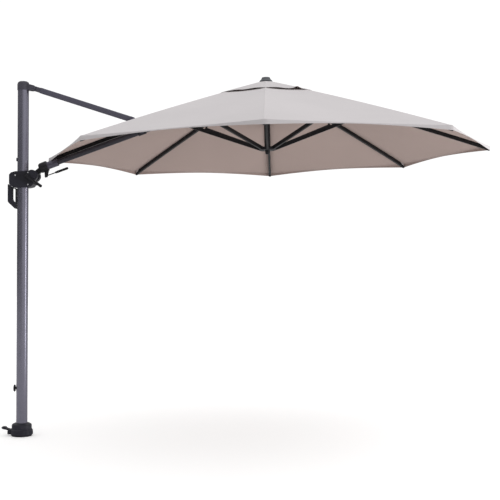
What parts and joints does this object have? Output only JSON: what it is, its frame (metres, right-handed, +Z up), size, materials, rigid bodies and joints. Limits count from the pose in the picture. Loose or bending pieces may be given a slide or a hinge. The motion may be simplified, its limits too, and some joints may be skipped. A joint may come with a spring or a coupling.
{
  "type": "cantilever parasol",
  "caption": "Cantilever parasol with an octagonal canopy on an offset boom, a strut, a sliding carriage with crank, and a swivelling mast on a flanged foot",
  "frame": {"origin": "on the mast axis at the underside of the foot flange", "axes": "+X from the mast towards the canopy, the longest extent; +Z up; -Z is the flange normal"},
  "size_m": [3.8712, 3.52, 2.8616],
  "materials": {
    "mast_metal": "satin powder coat",
    "frame_metal": "satin powder coat",
    "rib_metal": "semi-matt black coating",
    "housing_plastic": "fine-textured moulded",
    "hub_plastic": "smooth moulded",
    "foot_plastic": "fine-textured moulded",
    "finial_plastic": "smooth moulded",
    "bright_steel": "plated",
    "canopy_fabric": "plain weave, coated"
  },
  "bodies": {
    "base": {"base_flange": "foot_plastic", "foot_skirt": "foot_plastic", "base_spigot": "bright_steel"},
    "pedal": {"foot_pedal": "housing_plastic"},
    "mast": {"mast_tube": "mast_metal", "foot_dome": "foot_plastic", "mast_cap": "housing_plastic", "mast_stop": "housing_plastic", "top_pin": "frame_metal"},
    "clamp_screw": {"clamp_screw": "housing_plastic"},
    "strut": {"strut_tube": "frame_metal", "strut_eye": "housing_plastic", "strut_fork": "frame_metal"},
    "boom_carrier": {"boom_knuckle": "hub_plastic", "boom_sleeve": "frame_metal", "boom_outer_tube": "frame_metal", "strut_clamp": "housing_plastic"},
    "carriage": {"carriage_front": "housing_plastic", "carriage_rear": "housing_plastic", "carriage_screw_0": "bright_steel", "carriage_screw_1": "bright_steel", "carriage_screw_2": "bright_steel", "grip_handle": "housing_plastic"},
    "grip_trigger": {"grip_trigger": "hub_plastic"},
    "crank": {"crank_arm": "hub_plastic"},
    "crank_handle": {"crank_handle": "hub_plastic"},
    "tilt_lever": {"tilt_lever": "hub_plastic"},
    "boom": {"boom_inner_tube": "rib_metal", "boom_end": "housing_plastic"},
    "canopy_hub": {"crown_hub": "hub_plastic", "hub_bracket": "hub_plastic", "level_pin": "bright_steel", "centre_pole": "rib_metal", "finial": "finial_plastic", "vent_cap": "canopy_fabric"},
    "runner": {"runner": "hub_plastic"},
    "rib_1": {"rib_1": "rib_metal", "canopy_sector_1": "canopy_fabric"},
    "brace_1": {"brace_1": "rib_metal"},
    "rib_2": {"rib_2": "rib_metal", "canopy_sector_2": "canopy_fabric"},
    "brace_2": {"brace_2": "rib_metal"},
    "rib_3": {"rib_3": "rib_metal", "canopy_sector_3": "canopy_fabric"},
    "brace_3": {"brace_3": "rib_metal"},
    "rib_4": {"rib_4": "rib_metal", "canopy_sector_4": "canopy_fabric"},
    "brace_4": {"brace_4": "rib_metal"},
    "rib_5": {"rib_5": "rib_metal", "canopy_sector_5": "canopy_fabric"},
    "brace_5": {"brace_5": "rib_metal"},
    "rib_6": {"rib_6": "rib_metal", "canopy_sector_6": "canopy_fabric"},
    "brace_6": {"brace_6": "rib_metal"},
    "rib_7": {"rib_7": "rib_metal", "canopy_sector_7": "canopy_fabric"},
    "brace_7": {"brace_7": "rib_metal"},
    "rib_8": {"rib_8": "rib_metal", "canopy_sector_8": "canopy_fabric"},
    "brace_8": {"brace_8": "rib_metal"}
  },
  "joints": [
    {"name": "pedal_press", "type": "hinge", "parent": "base", "child": "pedal", "pos_m": [-0.083, 0, 0.0425], "axis": [0, -1, 0], "range_deg": [0, 8], "stiffness_Nm_per_rad": 8},
    {"name": "mast_swivel", "type": "hinge", "parent": "base", "child": "mast", "pos_m": [0, 0, 0.1], "axis": [0, 0, 1], "continuous": true},
    {"name": "clamp_turn", "type": "hinge", "parent": "mast", "child": "clamp_screw", "pos_m": [-0.06, 0, 0.377], "axis": [1, 0, 0], "continuous": true},
    {"name": "boom_fold", "type": "hinge", "parent": "mast", "child": "strut", "pos_m": [0.085, 0, 2.7715], "axis": [0, 1, 0], "range_deg": [0, 42]},
    {"name": "boom_pin", "type": "hinge", "parent": "strut", "child": "boom_carrier", "pos_m": [0.955, 0, 2.42025], "axis": [0, 1, 0], "range_deg": [-84, 0]},
    {"name": "carriage_pivot", "type": "hinge", "parent": "boom_carrier", "child": "carriage", "pos_m": [0.085, 0, 2.069], "axis": [0, 1, 0], "range_deg": [0, 42]},
    {"name": "trigger_squeeze", "type": "hinge", "parent": "carriage", "child": "grip_trigger", "pos_m": [-0.086, 0, 1.964], "axis": [0, 1, 0], "range_deg": [0, 3.5], "stiffness_Nm_per_rad": 2},
    {"name": "crank_turn", "type": "hinge", "parent": "carriage", "child": "crank", "pos_m": [0.046, -0.0604, 2.063], "axis": [0, -1, 0], "continuous": true},
    {"name": "crank_handle_fold", "type": "hinge", "parent": "crank", "child": "crank_handle", "pos_m": [0.1066, -0.0735, 2.0213], "axis": [-0.5669, 0, -0.8238], "range_deg": [0, 90]},
    {"name": "tilt_release", "type": "hinge", "parent": "boom_carrier", "child": "tilt_lever", "pos_m": [0.188, 0, 2.0695], "axis": [0, 1, 0], "range_deg": [0, 15], "stiffness_Nm_per_rad": 3, "springref_deg": -11.46},
    {"name": "boom_roll", "type": "hinge", "parent": "boom_carrier", "child": "boom", "pos_m": [0.55, 0, 2.278], "axis": [0.9403, 0, 0.3404], "range_deg": [-15, 8]},
    {"name": "canopy_level", "type": "hinge", "parent": "boom", "child": "canopy_hub", "pos_m": [1.8, 0, 2.7305], "axis": [0, 1, 0], "range_deg": [0, 42], "deforming": ["vent_cap"]},
    {"name": "rib_fold_1", "type": "hinge", "parent": "canopy_hub", "child": "rib_1", "pos_m": [1.99943, 0.056, 2.77837], "axis": [0, 1, 0], "range_deg": [0, 63], "deforming": ["canopy_sector_1"]},
    {"name": "brace_fold_1", "type": "hinge", "parent": "rib_1", "child": "brace_1", "pos_m": [2.68746, 0.056, 2.55217], "axis": [0, 1, 0], "range_deg": [-126, 0]},
    {"name": "rib_fold_2", "type": "hinge", "parent": "canopy_hub", "child": "rib_2", "pos_m": [1.98244, 0.09701, 2.77793], "axis": [-0.7069, 0.7071, -0.0181], "range_deg": [0, 63], "deforming": ["canopy_sector_2"]},
    {"name": "brace_fold_2", "type": "hinge", "parent": "rib_2", "child": "brace_2", "pos_m": [2.47079, 0.57926, 2.54661], "axis": [-0.7069, 0.7071, -0.0181], "range_deg": [-126, 0]},
    {"name": "rib_fold_3", "type": "hinge", "parent": "canopy_hub", "child": "rib_3", "pos_m": [1.94145, 0.114, 2.77688], "axis": [-0.9997, 0, -0.0257], "range_deg": [0, 63], "deforming": ["canopy_sector_3"]},
    {"name": "brace_fold_3", "type": "hinge", "parent": "rib_3", "child": "brace_3", "pos_m": [1.9477, 0.796, 2.53318], "axis": [-0.9997, 0, -0.0257], "range_deg": [-126, 0]},
    {"name": "rib_fold_4", "type": "hinge", "parent": "canopy_hub", "child": "rib_4", "pos_m": [1.90045, 0.09701, 2.77583], "axis": [-0.7069, -0.7071, -0.0181], "range_deg": [0, 63], "deforming": ["canopy_sector_4"]},
    {"name": "brace_fold_4", "type": "hinge", "parent": "rib_4", "child": "brace_4", "pos_m": [1.42461, 0.57926, 2.51976], "axis": [-0.7069, -0.7071, -0.0181], "range_deg": [-126, 0]},
    {"name": "rib_fold_5", "type": "hinge", "parent": "canopy_hub", "child": "rib_5", "pos_m": [1.88346, 0.056, 2.77539], "axis": [0, -1, 0], "range_deg": [0, 63], "deforming": ["canopy_sector_5"]},
    {"name": "brace_fold_5", "type": "hinge", "parent": "rib_5", "child": "brace_5", "pos_m": [1.20794, 0.056, 2.5142], "axis": [0, -1, 0], "range_deg": [-126, 0]},
    {"name": "rib_fold_6", "type": "hinge", "parent": "canopy_hub", "child": "rib_6", "pos_m": [1.90045, 0.01499, 2.77583], "axis": [0.7069, -0.7071, 0.0181], "range_deg": [0, 63], "deforming": ["canopy_sector_6"]},
    {"name": "brace_fold_6", "type": "hinge", "parent": "rib_6", "child": "brace_6", "pos_m": [1.42461, -0.46726, 2.51976], "axis": [0.7069, -0.7071, 0.0181], "range_deg": [-126, 0]},
    {"name": "rib_fold_7", "type": "hinge", "parent": "canopy_hub", "child": "rib_7", "pos_m": [1.94145, -0.002, 2.77688], "axis": [0.9997, 0, 0.0257], "range_deg": [0, 63], "deforming": ["canopy_sector_7"]},
    {"name": "brace_fold_7", "type": "hinge", "parent": "rib_7", "child": "brace_7", "pos_m": [1.9477, -0.684, 2.53318], "axis": [0.9997, 0, 0.0257], "range_deg": [-126, 0]},
    {"name": "rib_fold_8", "type": "hinge", "parent": "canopy_hub", "child": "rib_8", "pos_m": [1.98244, 0.01499, 2.77793], "axis": [0.7069, 0.7071, 0.0181], "range_deg": [0, 63], "deforming": ["canopy_sector_8"]},
    {"name": "brace_fold_8", "type": "hinge", "parent": "rib_8", "child": "brace_8", "pos_m": [2.47079, -0.46726, 2.54661], "axis": [0.7069, 0.7071, 0.0181], "range_deg": [-126, 0]},
    {"name": "runner_level", "type": "hinge", "parent": "brace_1", "child": "runner", "pos_m": [2.01193, 0.056, 2.29097], "axis": [0, 1, 0], "range_deg": [0, 63]}
  ],
  "couplings": [
    {"joint": "boom_pin", "follows": "boom_fold", "ratio": -2},
    {"joint": "carriage_pivot", "follows": "boom_fold", "ratio": 1},
    {"joint": "canopy_level", "follows": "boom_fold", "ratio": 1},
    {"joint": "rib_fold_1", "follows": "boom_fold", "ratio": 1.5},
    {"joint": "brace_fold_1", "follows": "boom_fold", "ratio": -3},
    {"joint": "rib_fold_2", "follows": "boom_fold", "ratio": 1.5},
    {"joint": "brace_fold_2", "follows": "boom_fold", "ratio": -3},
    {"joint": "rib_fold_3", "follows": "boom_fold", "ratio": 1.5},
    {"joint": "brace_fold_3", "follows": "boom_fold", "ratio": -3},
    {"joint": "rib_fold_4", "follows": "boom_fold", "ratio": 1.5},
    {"joint": "brace_fold_4", "follows": "boom_fold", "ratio": -3},
    {"joint": "rib_fold_5", "follows": "boom_fold", "ratio": 1.5},
    {"joint": "brace_fold_5", "follows": "boom_fold", "ratio": -3},
    {"joint": "rib_fold_6", "follows": "boom_fold", "ratio": 1.5},
    {"joint": "brace_fold_6", "follows": "boom_fold", "ratio": -3},
    {"joint": "rib_fold_7", "follows": "boom_fold", "ratio": 1.5},
    {"joint": "brace_fold_7", "follows": "boom_fold", "ratio": -3},
    {"joint": "rib_fold_8", "follows": "boom_fold", "ratio": 1.5},
    {"joint": "brace_fold_8", "follows": "boom_fold", "ratio": -3},
    {"joint": "runner_level", "follows": "boom_fold", "ratio": 1.5}
  ]
}
